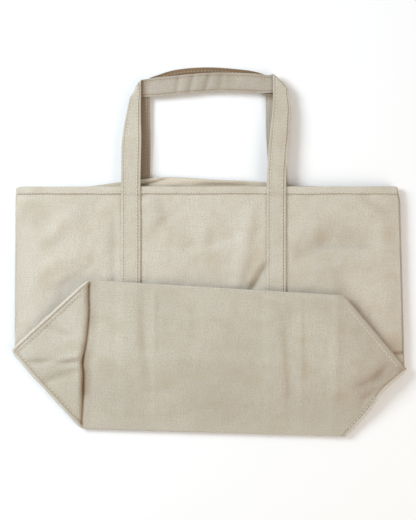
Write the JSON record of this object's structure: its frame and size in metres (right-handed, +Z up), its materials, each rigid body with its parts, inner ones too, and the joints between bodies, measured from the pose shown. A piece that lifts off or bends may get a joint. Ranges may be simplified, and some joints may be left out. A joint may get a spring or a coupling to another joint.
{
  "type": "canvas tote bag",
  "caption": "Natural canvas boat tote lying flat, with sewn straps, a loop handle on each face, turned hems and a boxed base folded up over the front.",
  "frame": {"origin": "centre of the bounding box's bottom face, which is the surface that the bag lies on", "axes": "+X across the bag, +Y from the base towards the mouth and handles, +Z up, from the bag's back to its front"},
  "size_m": [0.547, 0.508, 0.0263],
  "materials": {
    "canvas": "natural undyed heavy cotton canvas, matte",
    "base": "natural undyed heavy cotton canvas, matte",
    "strap": "folded cotton canvas strap, matte",
    "seam": "turned canvas seam allowance, matte",
    "thread": "cotton sewing thread"
  },
  "bodies": {
    "bag_body": {"back_panel": "canvas", "front_panel": "canvas", "back_hem": "canvas", "front_hem": "canvas", "left_side_seam": "seam", "right_side_seam": "seam", "front_strap_left": "strap", "front_strap_right": "strap", "back_strap_left": "strap", "back_strap_right": "strap"},
    "base_fold": {"base_panel": "base", "left_gusset": "base", "right_gusset": "base", "front_lower_panel": "canvas", "back_lower_panel": "canvas", "front_strap_end_left": "strap", "front_strap_end_right": "strap", "back_strap_end_left": "strap", "back_strap_end_right": "strap", "front_corner_seam_left": "seam", "front_corner_seam_right": "seam", "back_corner_seam_left": "seam", "back_corner_seam_right": "seam"},
    "front_handle": {"front_handle": "strap"},
    "back_handle": {"back_handle": "strap"}
  },
  "joints": [
    {"name": "base_fold_hinge", "type": "hinge", "parent": "bag_body", "child": "base_fold", "pos_m": [0, -0.154, -0.0003], "axis": [1, 0, 0], "range_deg": [0, 176]},
    {"name": "front_handle_hinge", "type": "hinge", "parent": "bag_body", "child": "front_handle", "pos_m": [0, 0.086, 0.0196], "axis": [1, 0, 0], "range_deg": [0, 170]},
    {"name": "back_handle_hinge", "type": "hinge", "parent": "bag_body", "child": "back_handle", "pos_m": [0, 0.086, -0.0003], "axis": [1, 0, 0], "range_deg": [-170, 0]}
  ]
}
